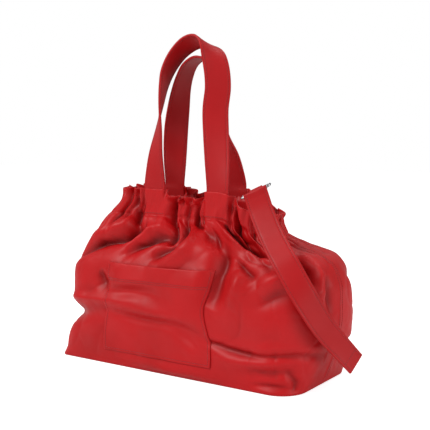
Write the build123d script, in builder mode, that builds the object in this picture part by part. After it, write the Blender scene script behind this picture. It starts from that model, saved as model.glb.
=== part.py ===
"""Leather tote bag with a gathered mouth, two flat handles and a loose strap, in millimetres.

The origin is the centre of the base on the floor, +Z is up and the front pocket faces -Y.
"""
from build123d import *
import os

# Leather and cloth thicknesses
PANEL_THICKNESS = 2.4
CASING_THICKNESS = 1.8
FACING_THICKNESS = 1.5
LINING_THICKNESS = 1.4
PLY_THICKNESS = 1.5
PLY_GAP = 0.9

# Body of the bag: height, left end, right end, half depth, corner radius
BODY_SECTIONS = (
    (3, -213, 209, 91, 48),
    (18, -216, 222, 94, 62),
    (45, -221, 235, 98, 75),
    (90, -225, 243, 102, 85),
    (140, -223, 241, 99, 85),
    (175, -204, 232, 90, 78),
    (198, -192, 215, 78, 66),
    (215, -186, 188, 66, 56),
    (228, -178, 164, 54, 46),
    (240, -167, 143, 45, 38),
)
BASE_HEIGHT, BASE_LEFT, BASE_RIGHT, BASE_HALF_DEPTH, BASE_CORNER = BODY_SECTIONS[0]
NECK_HEIGHT, NECK_LEFT, NECK_RIGHT, NECK_HALF_DEPTH, NECK_CORNER = BODY_SECTIONS[-1]

# Base, from the leather up to the cloth
BOARD_THICKNESS = 2.5
BOARD_INSET = 9
SHEET_GAP = 0.1
BOARD_BOTTOM = BASE_HEIGHT + SHEET_GAP
CLOTH_BOTTOM = BOARD_BOTTOM + BOARD_THICKNESS + SHEET_GAP
LINING_BOTTOM = CLOTH_BOTTOM + LINING_THICKNESS + SHEET_GAP
LINING_TOP = 232
LINING_INSET = PANEL_THICKNESS + 0.2

# Gathered casing round the mouth, whose rim slopes down at the right end
RIM_HEIGHT = 280
RIM_SLOPE_START = 60
RIM_END_HEIGHT = 258
FACING_INSET = 6.8
FACING_BOTTOM = 232
ELASTIC_INSET = 5.5
ELASTIC_THICKNESS = 1.2
ELASTIC_BOTTOM = 244
ELASTIC_TOP = 256

# Front pocket
POCKET_LEFT, POCKET_RIGHT = -128, 79
POCKET_BOTTOM, POCKET_TOP = 25, 168
POCKET_GAP = 10
POCKET_WALL = 2
POCKET_EDGE = 3
POCKET_CLEARANCE = 0.2

# Handles: centre and direction towards the edge that turns outwards, from one foot to the other
HANDLE_WIDTH = 40
HINGE_HEIGHT = 290
FOOT_HEIGHT = 304
HANDLE_FOOT_Y = 41.4
HANDLE_END_TOP = 283
HANDLE_END_BOTTOM = 247
FRONT_HANDLE = (
    ((-67, -HANDLE_FOOT_Y, HINGE_HEIGHT), (1, 0, 0)),
    ((-67, -41, FOOT_HEIGHT), (1, 0, 0)),
    ((-68, -38, 335), (0.93, -0.37, 0)),
    ((-68, -30, 375), (0.75, -0.66, 0)),
    ((-68, -24, 410), (0.52, -0.85, 0)),
    ((-66, -18, 445), (0.30, -0.95, 0)),
    ((-60, -13, 470), (0.05, -1, 0)),
    ((-44, -9, 494), (-0.15, -0.98, 0.10)),
    ((-20, -8, 510), (-0.30, -0.90, 0.30)),
    ((4, -10, 511), (-0.45, -0.75, 0.45)),
    ((22, -13, 497), (-0.62, -0.58, 0.50)),
    ((34, -17, 472), (-0.76, -0.55, 0.35)),
    ((40, -21, 440), (-0.82, -0.56, 0.12)),
    ((39, -26, 405), (-0.85, -0.52, 0)),
    ((44, -32, 366), (-0.92, -0.38, 0)),
    ((49, -37, 332), (-0.97, -0.24, 0)),
    ((53, -41, FOOT_HEIGHT), (-1, 0, 0)),
    ((53, -HANDLE_FOOT_Y, HINGE_HEIGHT), (-1, 0, 0)),
)
REAR_HANDLE = (
    ((-89, HANDLE_FOOT_Y, HINGE_HEIGHT), (1, 0, 0)),
    ((-89, 41, FOOT_HEIGHT), (1, 0, 0)),
    ((-85, 37, 335), (0.93, 0.37, 0)),
    ((-78, 31, 375), (0.75, 0.66, 0)),
    ((-69, 25, 408), (0.50, 0.86, 0)),
    ((-59, 18, 435), (0.25, 0.97, 0)),
    ((-48, 13, 458), (0.10, 1, 0)),
    ((-34, 10, 478), (0, 1, 0)),
    ((-13, 8, 488), (-0.10, 1, 0)),
    ((6, 8, 482), (-0.20, 0.98, 0)),
    ((15, 11, 465), (-0.20, 0.98, 0)),
    ((19, 15, 440), (-0.30, 0.95, 0)),
    ((18, 20, 408), (-0.50, 0.86, 0)),
    ((20, 28, 365), (-0.80, 0.60, 0)),
    ((27, 36, 330), (-0.97, 0.25, 0)),
    ((32, 41, FOOT_HEIGHT), (-1, 0, 0)),
    ((32, HANDLE_FOOT_Y, HINGE_HEIGHT), (-1, 0, 0)),
)

# Ring that lies across the rim at the right end of the mouth
BAR_DIRECTION = Vector(0.82, 0.37, 0.44).normalized()
OUTWARD = Vector(0.411, -0.911, 0).normalized()
TAB_BAR = Vector(115.8, -31.0, 286)
STRAP_BAR = Vector(122.6, -46.1, 284)
WIRE_RADIUS = 1.6
BORE_RADIUS = 1.65
RING_LENGTH = 46
RING_CORNER = 3
EYE_RADIUS = BORE_RADIUS + 1.8
TAB_WIDTH = 20
TAB_THICKNESS = 2
TAB_BOTTOM = 250

# Loose strap: centre and width direction, from the ring down to its free end
STRAP_WIDTH = 38
STRAP = (
    (tuple(STRAP_BAR), (0.82, 0.37, 0.44)),
    ((136, -50, 256), (0.80, 0.40, 0.45)),
    ((155, -59, 229), (0.76, 0.46, 0.46)),
    ((175, -71, 208), (0.72, 0.50, 0.48)),
    ((197, -82, 186), (0.68, 0.54, 0.49)),
    ((225, -84, 147), (0.58, 0.63, 0.51)),
    ((245, -68, 106), (0.42, 0.74, 0.52)),
    ((261, -44, 70), (0.28, 0.80, 0.53)),
    ((281, -24, 39), (0.15, 0.83, 0.53)),
)
BACKING_START = 1


def finish(piece, label):
    """Label a finished piece and write it to its own file."""
    piece.part.label = label
    export_step(piece.part, f"parts/{label}.step")


def body_solid(inset):
    """Solid body of the bag, a given distance inside its outer surface."""
    with BuildPart() as solid:
        for height, left, right, half_depth, corner in BODY_SECTIONS:
            with BuildSketch(Plane.XY.offset(height)):
                with Locations(((left + right) / 2, 0)):
                    RectangleRounded(right - left - 2 * inset, 2 * (half_depth - inset), corner - inset)
        loft()
    return solid.part


def plan_sheet(section, inset, bottom, thickness):
    """Flat sheet with the outline of one body section, lying at a given height."""
    _, left, right, half_depth, corner = section
    with BuildPart() as sheet:
        with BuildSketch(Plane.XY.offset(bottom)):
            with Locations(((left + right) / 2, 0)):
                RectangleRounded(right - left - 2 * inset, 2 * (half_depth - inset), corner - inset)
        extrude(amount=thickness)
    return sheet


def neck_ring(inset, thickness, bottom, top):
    """Upright band round the mouth, cut to the slope of the rim."""
    outer = plan_sheet(BODY_SECTIONS[-1], inset, bottom, top - bottom)
    inner = plan_sheet(BODY_SECTIONS[-1], inset + thickness, bottom, top - bottom)
    with BuildPart() as ring:
        add(outer.part)
        add(inner.part, mode=Mode.SUBTRACT)
        with BuildSketch(Plane.XZ):
            with BuildLine():
                Polyline(
                    (RIM_SLOPE_START, RIM_HEIGHT),
                    (NECK_RIGHT, RIM_END_HEIGHT),
                    (NECK_RIGHT, RIM_HEIGHT + 1),
                    (RIM_SLOPE_START, RIM_HEIGHT + 1),
                    close=True,
                )
            make_face()
        extrude(amount=2 * NECK_HALF_DEPTH, both=True, mode=Mode.SUBTRACT)
    return ring.part


def band_plane(stations, index, shift):
    """Plane across a leather band at one station, moved along the band's normal."""
    centre = Vector(stations[index][0])
    before = Vector(stations[max(index - 1, 0)][0])
    after = Vector(stations[min(index + 1, len(stations) - 1)][0])
    along = (after - before).normalized()
    across = Vector(stations[index][1])
    across = (across - along * across.dot(along)).normalized()
    normal = along.cross(across)
    return Plane(origin=centre + normal * shift, x_dir=across, z_dir=along)


def band(stations, width, shift):
    """One ply of a flat leather band that follows its stations."""
    with BuildPart() as ply:
        for index in range(len(stations)):
            with BuildSketch(band_plane(stations, index, shift)):
                Rectangle(width, PLY_THICKNESS)
        loft()
    return ply.part


def bar_plane(centre):
    """Plane across a bar of the ring, with its normal along the bar."""
    return Plane(origin=centre, x_dir=OUTWARD, z_dir=BAR_DIRECTION)


os.makedirs("parts", exist_ok=True)
PLY_SHIFT = (PLY_THICKNESS + PLY_GAP) / 2

# Front and back leather panels
with BuildPart() as body_leather:
    add(body_solid(0))
    add(body_solid(PANEL_THICKNESS), mode=Mode.SUBTRACT)

with BuildPart() as front_panel:
    add(body_leather.part)
    split(bisect_by=Plane.XZ, keep=Keep.TOP)
finish(front_panel, "front_panel")

with BuildPart() as back_panel:
    add(body_leather.part)
    split(bisect_by=Plane.XZ, keep=Keep.BOTTOM)
finish(back_panel, "back_panel")

# Base: leather, stiffening board and lining
base_panel = plan_sheet(BODY_SECTIONS[0], 0, 0, BASE_HEIGHT)
finish(base_panel, "base_panel")

base_board = plan_sheet(BODY_SECTIONS[0], BOARD_INSET, BOARD_BOTTOM, BOARD_THICKNESS)
finish(base_board, "base_board")

base_lining = plan_sheet(BODY_SECTIONS[0], BOARD_INSET, CLOTH_BOTTOM, LINING_THICKNESS)
finish(base_lining, "base_lining")

# Lining of the walls
with BuildPart() as lining:
    add(body_solid(LINING_INSET))
    add(body_solid(LINING_INSET + LINING_THICKNESS), mode=Mode.SUBTRACT)
    split(bisect_by=Plane.XY.offset(LINING_BOTTOM), keep=Keep.TOP)
    split(bisect_by=Plane.XY.offset(LINING_TOP), keep=Keep.BOTTOM)

with BuildPart() as front_lining:
    add(lining.part)
    split(bisect_by=Plane.XZ, keep=Keep.TOP)
finish(front_lining, "front_lining")

with BuildPart() as back_lining:
    add(lining.part)
    split(bisect_by=Plane.XZ, keep=Keep.BOTTOM)
finish(back_lining, "back_lining")

# Casing and facing, which hold the elastic between them
casing = neck_ring(0, CASING_THICKNESS, NECK_HEIGHT, RIM_HEIGHT)
facing = neck_ring(FACING_INSET, FACING_THICKNESS, FACING_BOTTOM, RIM_HEIGHT)

with BuildPart() as front_casing:
    add(casing)
    split(bisect_by=Plane.XZ, keep=Keep.TOP)
finish(front_casing, "front_casing")

with BuildPart() as back_casing:
    add(casing)
    split(bisect_by=Plane.XZ, keep=Keep.BOTTOM)
finish(back_casing, "back_casing")

with BuildPart() as front_facing:
    add(facing)
    split(bisect_by=Plane.XZ, keep=Keep.TOP)
finish(front_facing, "front_facing")

with BuildPart() as back_facing:
    add(facing)
    split(bisect_by=Plane.XZ, keep=Keep.BOTTOM)
finish(back_facing, "back_facing")

with BuildPart() as gathering_elastic:
    add(neck_ring(ELASTIC_INSET, ELASTIC_THICKNESS, ELASTIC_BOTTOM, ELASTIC_TOP))
finish(gathering_elastic, "gathering_elastic")

# Front pocket, closed at its sides and bottom and open at the top
POCKET_WIDTH = POCKET_RIGHT - POCKET_LEFT
POCKET_TALL = POCKET_TOP - POCKET_BOTTOM
POCKET_MIDDLE = (POCKET_LEFT + POCKET_RIGHT) / 2
FRONT_REACH = 200

with BuildPart() as pocket_space:
    add(body_solid(-POCKET_GAP))
    with Locations((POCKET_MIDDLE, 0, POCKET_BOTTOM + POCKET_EDGE)):
        Box(
            POCKET_WIDTH - 2 * POCKET_EDGE,
            FRONT_REACH,
            POCKET_TALL,
            align=(Align.CENTER, Align.MAX, Align.MIN),
            mode=Mode.INTERSECT,
        )

with BuildPart() as pocket_panel:
    add(body_solid(-POCKET_GAP - POCKET_WALL))
    with Locations((POCKET_MIDDLE, 0, POCKET_BOTTOM)):
        Box(
            POCKET_WIDTH,
            FRONT_REACH,
            POCKET_TALL,
            align=(Align.CENTER, Align.MAX, Align.MIN),
            mode=Mode.INTERSECT,
        )
    add(body_solid(-POCKET_CLEARANCE), mode=Mode.SUBTRACT)
    add(pocket_space.part, mode=Mode.SUBTRACT)
finish(pocket_panel, "pocket_panel")

# Handles: the sewn ends stay in the casing and the loops turn above them
for label, stations in (("front_handle", FRONT_HANDLE), ("rear_handle", REAR_HANDLE)):
    foot_y = stations[0][0][1]
    with BuildPart() as handle_ends:
        with Locations(*[(stations[foot][0][0], foot_y, HANDLE_END_BOTTOM) for foot in (0, -1)]):
            Box(
                HANDLE_WIDTH,
                2 * PLY_THICKNESS,
                HANDLE_END_TOP - HANDLE_END_BOTTOM,
                align=(Align.CENTER, Align.CENTER, Align.MIN),
            )
    finish(handle_ends, f"{label}_ends")

    outer_side = 1 if foot_y > 0 else -1
    with BuildPart() as handle_outer:
        add(band(stations, HANDLE_WIDTH, outer_side * PLY_SHIFT))
    finish(handle_outer, f"{label}_outer")

    with BuildPart() as handle_backing:
        add(band(stations, HANDLE_WIDTH, -outer_side * PLY_SHIFT))
    finish(handle_backing, f"{label}_backing")

# Tab sewn inside the mouth, with an eye for the ring
TAB_PLANE = Plane(origin=(TAB_BAR.X, TAB_BAR.Y, 0), x_dir=OUTWARD.cross(Vector(0, 0, -1)), z_dir=OUTWARD)
TAB_RISE = TAB_WIDTH / 2 * BAR_DIRECTION.Z / BAR_DIRECTION.cross(Vector(0, 0, 1)).length
with BuildPart() as ring_tab:
    with BuildSketch(TAB_PLANE):
        with BuildLine():
            Polyline(
                (-TAB_WIDTH / 2, TAB_BOTTOM),
                (TAB_WIDTH / 2, TAB_BOTTOM),
                (TAB_WIDTH / 2, TAB_BAR.Z + TAB_RISE),
                (-TAB_WIDTH / 2, TAB_BAR.Z - TAB_RISE),
                close=True,
            )
        make_face()
    extrude(amount=TAB_THICKNESS / 2, both=True)
    with BuildSketch(bar_plane(TAB_BAR)):
        Circle(EYE_RADIUS)
    extrude(amount=TAB_WIDTH / 2, both=True)
    with BuildSketch(bar_plane(TAB_BAR)):
        Circle(BORE_RADIUS)
    extrude(amount=TAB_WIDTH, both=True, mode=Mode.SUBTRACT)
finish(ring_tab, "ring_tab")

# Rectangular wire ring
BAR_SPACING = (STRAP_BAR - TAB_BAR).length
RING_NORMAL = BAR_DIRECTION.cross(STRAP_BAR - TAB_BAR).normalized()
RING_PLANE = Plane(origin=(TAB_BAR + STRAP_BAR) * 0.5, x_dir=BAR_DIRECTION, z_dir=RING_NORMAL)
with BuildPart() as strap_ring:
    with BuildLine(RING_PLANE) as ring_line:
        FilletPolyline(
            (-RING_LENGTH / 2, -BAR_SPACING / 2),
            (RING_LENGTH / 2, -BAR_SPACING / 2),
            (RING_LENGTH / 2, BAR_SPACING / 2),
            (-RING_LENGTH / 2, BAR_SPACING / 2),
            radius=RING_CORNER,
            close=True,
        )
    with BuildSketch(Plane(origin=ring_line.line @ 0, z_dir=ring_line.line % 0)):
        Circle(WIRE_RADIUS)
    sweep()
finish(strap_ring, "strap_ring")

# Loose strap: the outer ply folds round the ring and the backing starts below the fold
with BuildPart() as strap_outer:
    add(band(STRAP, STRAP_WIDTH, PLY_SHIFT))
    with BuildSketch(bar_plane(STRAP_BAR)):
        Circle(EYE_RADIUS)
    extrude(amount=STRAP_WIDTH / 2, both=True)
    with BuildSketch(bar_plane(STRAP_BAR)):
        Circle(BORE_RADIUS)
    extrude(amount=STRAP_WIDTH, both=True, mode=Mode.SUBTRACT)
finish(strap_outer, "strap_outer")

with BuildPart() as strap_backing:
    add(band(STRAP, STRAP_WIDTH, -PLY_SHIFT))
    split(bisect_by=band_plane(STRAP, BACKING_START, 0), keep=Keep.TOP)
finish(strap_backing, "strap_backing")
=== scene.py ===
"""Red leather tote bag with a gathered mouth: skin, lining, pocket, handles, strap, ring and stitching."""
import math
import random

import bpy
import numpy as np
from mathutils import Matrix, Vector
from mathutils.bvhtree import BVHTree


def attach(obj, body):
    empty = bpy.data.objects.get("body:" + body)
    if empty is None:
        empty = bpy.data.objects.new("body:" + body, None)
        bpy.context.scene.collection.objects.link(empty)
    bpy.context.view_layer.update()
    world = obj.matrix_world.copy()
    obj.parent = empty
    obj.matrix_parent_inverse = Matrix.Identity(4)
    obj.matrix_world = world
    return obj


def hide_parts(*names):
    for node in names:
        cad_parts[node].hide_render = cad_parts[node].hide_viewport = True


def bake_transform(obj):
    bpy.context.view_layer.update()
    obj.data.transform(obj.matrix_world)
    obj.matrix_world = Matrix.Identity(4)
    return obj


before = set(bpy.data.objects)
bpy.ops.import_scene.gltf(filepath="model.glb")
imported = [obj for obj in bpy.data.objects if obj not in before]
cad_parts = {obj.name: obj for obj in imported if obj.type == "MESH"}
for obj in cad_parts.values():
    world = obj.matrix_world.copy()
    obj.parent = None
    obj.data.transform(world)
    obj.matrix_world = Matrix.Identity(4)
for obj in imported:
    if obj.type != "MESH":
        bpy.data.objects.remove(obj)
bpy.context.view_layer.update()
MM = 0.001

# ---- the bag's shape, in millimetres
# Height, left end, right end, half depth, corner radius at the left and at the right
SECTIONS = np.array([
    (0, -229, 214, 95, 15, 42),
    (18, -221, 221, 97, 22, 50),
    (52, -217, 235, 99, 42, 72),
    (74, -213, 240, 99, 66, 78),
    (101, -222, 242, 102, 60, 84),
    (142, -223, 241, 99, 58, 84),
    (166, -214, 235, 94, 50, 80),
    (180, -206, 229, 88, 48, 76),
    (200, -195, 213, 79, 44, 58),
    (215, -187, 196, 67, 40, 50),
    (228, -181, 176, 58, 36, 42),
    (234, -178, 164, 53, 34, 38),
    (241, -173, 144, 47, 34, 38),
    (262, -154, 137, 45.5, 35, 37),
    (281, -149, 138, 45.5, 37, 38),
], float)
NECK = 240.0
RIM = 281.0
RIM_SAG = 11.0
SAG_START, SAG_END = -62.0, -34.0
SAG_EASE = 24.0
NECK_DROP = 24.0
DROP_START, DROP_END = 50.0, 150.0
DROP_LOW = 165.0
SIDE_SEAMS = (0.25, 0.75)
SEAM_ALLOWANCE = 8.0
BASE_ROUND = 2.5

AROUND = 720
LEATHER = 2.0
CASING_DEPTH = 7.0
FRILL_DEPTH = 3.2
LIP_ROWS = 7

# Handle feet: their centres in X, half the width of casing held flat, and how far it takes to let go
FRONT_FEET = (-67.0, 53.0)
REAR_FEET = (-89.0, 32.0)
FOOT_REACH = 17.0
FOOT_EASE = 7.0


def smooth(low, high, value):
    """Smooth step from 0 at low to 1 at high."""
    t = np.clip((value - low) / (high - low), 0, 1)
    return t * t * (3 - 2 * t)


def section(height):
    """Left, right, half depth and both corner radii of the bag at a height, on a smooth curve."""
    z = SECTIONS[:, 0]
    height = np.clip(height, z[0], z[-1])
    out = []
    for column in range(1, 6):
        y = SECTIONS[:, column]
        d = np.diff(y) / np.diff(z)
        slope = np.empty_like(y)
        slope[0], slope[-1] = d[0], d[-1]
        slope[1:-1] = np.where(d[:-1] * d[1:] > 0, 2 * d[:-1] * d[1:] / (d[:-1] + d[1:] + 1e-9), 0)
        i = np.clip(np.searchsorted(z, height, side="right") - 1, 0, len(z) - 2)
        h = z[i + 1] - z[i]
        t = (height - z[i]) / h
        out.append(
            (2 * t**3 - 3 * t**2 + 1) * y[i] + (t**3 - 2 * t**2 + t) * h * slope[i]
            + (3 * t**2 - 2 * t**3) * y[i + 1] + (t**3 - t**2) * h * slope[i + 1]
        )
    return out


def outline(s, height):
    """Point and outward direction on the plain outline.

    s is the lap: 0 at the front centre, rising round to the right, 1 back at the start.
    """
    left, right, depth, left_corner, right_corner = section(height)
    half, middle = (right - left) / 2, (right + left) / 2
    lap = np.mod(s, 1.0) * 4
    side = np.floor(lap).astype(int)
    corner = np.where(side < 2, right_corner, left_corner)
    flat_x, flat_y, arc = half - corner, depth - corner, math.pi / 2 * corner
    quarter = flat_x + arc + flat_y
    part = lap - side
    run = np.where(side % 2 == 0, part, 1 - part) * quarter
    turn = np.clip((run - flat_x) / corner, 0, math.pi / 2)
    x = np.minimum(run, flat_x) + corner * np.sin(turn)
    y = flat_y + corner * np.cos(turn) - np.maximum(run - flat_x - arc, 0)
    nx, ny = np.sin(turn), np.cos(turn)
    sign_x = np.where((side == 0) | (side == 1), 1.0, -1.0)
    sign_y = np.where((side == 0) | (side == 3), -1.0, 1.0)
    return middle + sign_x * x, sign_y * y, sign_x * nx, sign_y * ny


def wrap(difference):
    """Difference of two laps, wrapped to the nearest half lap."""
    return np.mod(difference + 0.5, 1.0) - 0.5


def perimeter(height):
    """Length of the plain outline at a height."""
    left, right, depth, left_corner, right_corner = section(height)
    return 2 * (right - left + 2 * depth) - (4 - math.pi) * (left_corner + right_corner)


def waves(point, wavelength, seed, count=22):
    """Smooth seeded noise of about -1 to 1: a sum of plane waves of one length."""
    rng = np.random.default_rng(seed)
    total = np.zeros(point.shape[:-1])
    for _ in range(count):
        direction = rng.normal(size=3)
        direction *= 2 * math.pi / wavelength / np.linalg.norm(direction) * rng.uniform(0.7, 1.3)
        total += np.sin(point @ direction + rng.uniform(0, 2 * math.pi))
    return total * math.sqrt(2 / count) / 1.8


def drop(x, height):
    """How far the neck sinks towards the right end of the bag."""
    return NECK_DROP * smooth(DROP_START, DROP_END, x) * smooth(DROP_LOW, NECK, height)


def feet_mask(s, height, ease=FOOT_EASE):
    """1 over the flat stretches of casing that hold the handles, else 0."""
    x, y, _, _ = outline(s, height)
    mask = np.zeros(x.shape)
    for feet, side in ((FRONT_FEET, y < 0), (REAR_FEET, y > 0)):
        for foot in feet:
            near = smooth(FOOT_REACH + ease, FOOT_REACH, np.abs(x - foot))
            mask = np.maximum(mask, np.where(side, near, 0))
    return mask


def sag(s, x, height):
    """How far the rim hangs below the handle feet."""
    hang = RIM_SAG * smooth(SAG_START, SAG_END, x) * smooth(NECK + 4, RIM, height)
    return hang * (1 - feet_mask(s, height, SAG_EASE))


def plain(s, height):
    """Points of the bag before its folds, in millimetres."""
    x, y, _, _ = outline(s, height)
    return np.stack([x, y, height - drop(x, height) - sag(s, x, height)], axis=-1)


def plain_normal(s, height):
    """Outward normal of the bag before its folds."""
    ds, dh = 2e-4, 0.5
    low, high = np.maximum(height - dh, 0.0), np.minimum(height + dh, RIM)
    along = plain(s + ds, height) - plain(s - ds, height)
    up = plain(s, high) - plain(s, low)
    normal = np.cross(along, up)
    return normal / np.linalg.norm(normal, axis=-1, keepdims=True)


# ---- folds in the leather
# Each stroke: push outwards (negative for a valley) and half width, then the lap and height of its points
STROKES = [
    # front left: the long diagonal valley and the gathers beside the left handle foot
    (-17, 11, (-0.190, 164), (-0.162, 188), (-0.131, 203), (-0.104, 213), (-0.074, 226)),
    (8, 13, (-0.176, 206), (-0.146, 216), (-0.118, 228)),
    (9, 8, (-0.040, 224), (-0.066, 222), (-0.088, 206), (-0.100, 190)),
    (-13, 8, (-0.018, 214), (-0.050, 211), (-0.076, 196), (-0.092, 180)),
    (-12, 7, (-0.001, 228), (-0.008, 204), (-0.031, 188), (-0.045, 178)),
    (9, 13, (0.022, 222), (0.012, 202), (-0.006, 188), (-0.030, 174)),
    (-10, 6, (-0.140, 266), (-0.122, 246), (-0.107, 225), (-0.114, 206)),
    (-7, 5, (-0.112, 270), (-0.105, 250), (-0.104, 234)),
    (-13, 6, (-0.033, 272), (-0.021, 243), (-0.020, 218), (-0.030, 204)),
    (-10, 5, (0.008, 270), (0.012, 246), (0.006, 226), (0.000, 212)),
    (-9, 6, (0.030, 270), (0.034, 246), (0.046, 226), (0.050, 208)),
    # the deep valley beside the pocket and the ridge next to it
    (-19, 14, (0.086, 216), (0.076, 196), (0.067, 168), (0.063, 140), (0.056, 114)),
    (10, 12, (0.108, 176), (0.096, 148), (0.086, 120)),
    (-9, 8, (0.096, 196), (0.110, 176), (0.122, 164)),
    (-7, 10, (0.128, 128), (0.154, 144), (0.182, 150)),
    (6, 10, (0.126, 152), (0.150, 166), (0.176, 172)),
    # the casing's lip that curls round from the right handle foot
    (9, 6, (0.100, 264), (0.086, 238), (0.096, 224), (0.130, 213), (0.165, 206)),
    (-14, 6, (0.118, 262), (0.107, 238), (0.120, 226), (0.150, 219), (0.174, 214)),
    (-10, 5, (0.130, 268), (0.136, 246), (0.143, 236), (0.160, 230)),
    (-9, 6, (0.060, 236), (0.066, 222), (0.068, 206)),
    # hollow behind the strap and the gleaming ridge beyond it
    (-22, 13, (0.206, 218), (0.202, 196), (0.196, 172), (0.192, 152)),
    (8, 9, (0.217, 194), (0.213, 166), (0.209, 138)),
    (-10, 9, (0.224, 170), (0.223, 142), (0.229, 110)),
    # creases across the lower body
    (-8, 5, (0.040, 68), (0.062, 62), (0.092, 56), (0.128, 54), (0.180, 58), (0.226, 50)),
    (6, 12, (0.066, 44), (0.110, 42), (0.150, 45)),
    (-9, 11, (0.116, 34), (0.150, 32), (0.188, 40)),
    (-6, 5, (0.128, 12), (0.158, 12), (0.180, 9)),
    (-7, 5, (0.168, 34), (0.183, 18), (0.184, 4)),
    (5, 10, (-0.060, 16), (0.010, 13), (0.080, 15)),
    (5, 7, (-0.094, 135), (-0.060, 139), (-0.020, 138)),
    (-8, 10, (-0.096, 121), (-0.060, 125), (-0.022, 124)),
    (6, 7, (-0.180, 101), (-0.150, 105), (-0.088, 108), (-0.046, 114)),
    (-8, 6, (-0.108, 89), (-0.058, 82), (0.006, 81), (0.044, 68)),
    (6, 13, (-0.086, 99), (-0.030, 97), (0.024, 92)),
    (-6, 6, (0.000, 74), (0.026, 62), (0.044, 50)),
    (-5, 8, (-0.222, 75), (-0.192, 74), (-0.160, 79), (-0.130, 86)),
    (-9, 7, (-0.120, 152), (-0.113, 138), (-0.104, 124)),
    (2, 18, (-0.180, 40), (-0.150, 44), (-0.112, 52)),
    # left side
    (-10, 12, (-0.205, 186), (-0.212, 160), (-0.206, 128)),
    (-9, 8, (-0.282, 70), (-0.250, 72), (-0.215, 75)),
    (7, 12, (-0.225, 190), (-0.236, 164), (-0.240, 136)),
    (-9, 9, (-0.285, 150), (-0.260, 130), (-0.234, 120)),
    # right side and back
    (-6, 12, (0.276, 172), (0.300, 150), (0.322, 134), (0.352, 128)),
    (-12, 11, (0.330, 222), (0.338, 196), (0.352, 166), (0.350, 132)),
    (9, 12, (0.372, 226), (0.376, 196), (0.384, 160)),
    (-16, 12, (0.412, 232), (0.406, 206), (0.392, 176), (0.372, 146)),
    (-14, 10, (0.470, 234), (0.486, 208), (0.516, 188), (0.552, 178)),
    (9, 12, (0.448, 232), (0.460, 200), (0.470, 168)),
    (-15, 11, (0.584, 234), (0.594, 206), (0.616, 182), (0.640, 158)),
    (-11, 10, (0.660, 222), (0.668, 192), (0.672, 160)),
    (8, 11, (0.622, 222), (0.640, 190), (0.652, 160)),
    (-8, 6, (0.268, 62), (0.312, 58), (0.362, 66), (0.420, 72), (0.474, 66)),
    (-8, 7, (0.448, 104), (0.500, 92), (0.560, 88), (0.620, 96), (0.680, 88)),
    (7, 15, (0.330, 92), (0.400, 100), (0.470, 96)),
    (-7, 6, (0.520, 40), (0.580, 34), (0.640, 38), (0.700, 52)),
    (6, 15, (0.540, 62), (0.610, 66), (0.670, 62)),
    (-11, 12, (0.432, 160), (0.470, 142), (0.520, 138), (0.560, 146)),
]
STROKE_REACH = 3.2
STROKE_TIP = 0.3
STROKE_FALL = 0.85
FOLD_SHARPNESS = 1.3

PLEATS = 50
PLEAT_SEED = 11
PLEAT_DEPTH = 9.0
PLEAT_TIP = 0.35
PLEAT_SPREAD = 2.2
CASING_PLEAT = 5.6
FRILL_START = 264.0
FRILL_WAVE = 4.6
FRILL_RISE = 1.8
RING_LAP = 0.165
RING_REACH = 0.045


def curve_points(points, steps=8):
    """Smooth polyline through a stroke's points."""
    p = np.array(points, float)
    p = np.vstack([2 * p[0] - p[1], p, 2 * p[-1] - p[-2]])
    out = []
    for i in range(1, len(p) - 2):
        for t in np.linspace(0, 1, steps, endpoint=False):
            out.append(0.5 * (
                2 * p[i] + (p[i + 1] - p[i - 1]) * t
                + (2 * p[i - 1] - 5 * p[i] + 4 * p[i + 1] - p[i + 2]) * t**2
                + (3 * p[i] - p[i - 1] - 3 * p[i + 1] + p[i + 2]) * t**3
            ))
    out.append(p[-2])
    return np.array(out)


def fold_profile(distance, width, tip):
    """1 on a fold's middle line, easing out to 0 over its width. A larger tip rounds the middle more."""
    ease = np.sqrt(distance**2 + tip**2) - tip
    return np.exp(-((ease / width) ** FOLD_SHARPNESS))


def add_stroke(push, s, height, girth, stroke):
    """Add one fold to the displacement: sharp at its middle line, easing out to its sides."""
    depth, width, *points = stroke
    line = curve_points(points)
    middle = line[:, 0].mean()
    reach = STROKE_REACH * width
    near = (np.abs(wrap(s - middle)) * girth < np.ptp(line[:, 0]) / 2 * girth + reach)
    near &= (height > line[:, 1].min() - reach) & (height < line[:, 1].max() + reach)
    lap, tall, around = s[near], height[near], girth[near]
    best = np.full(lap.shape, reach)
    where = np.zeros(lap.shape)
    for i in range(len(line) - 1):
        ax = wrap(lap - line[i, 0]) * around
        ay = tall - line[i, 1]
        bx = wrap(line[i + 1, 0] - line[i, 0]) * around
        by = line[i + 1, 1] - line[i, 1]
        t = np.clip((ax * bx + ay * by) / (bx * bx + by * by), 0, 1)
        distance = np.hypot(ax - t * bx, ay - t * by)
        closer = distance < best
        best = np.where(closer, distance, best)
        where = np.where(closer, (i + t) / (len(line) - 1), where)
    taper = np.sin(math.pi * np.clip(where * 0.92 + 0.04, 0, 1)) ** 0.7
    spread = width * (0.8 + 0.5 * where)
    profile = fold_profile(best, STROKE_FALL * spread, STROKE_TIP * spread)
    push[near] += depth * taper * profile * smooth(reach, reach * 0.6, best)


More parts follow.
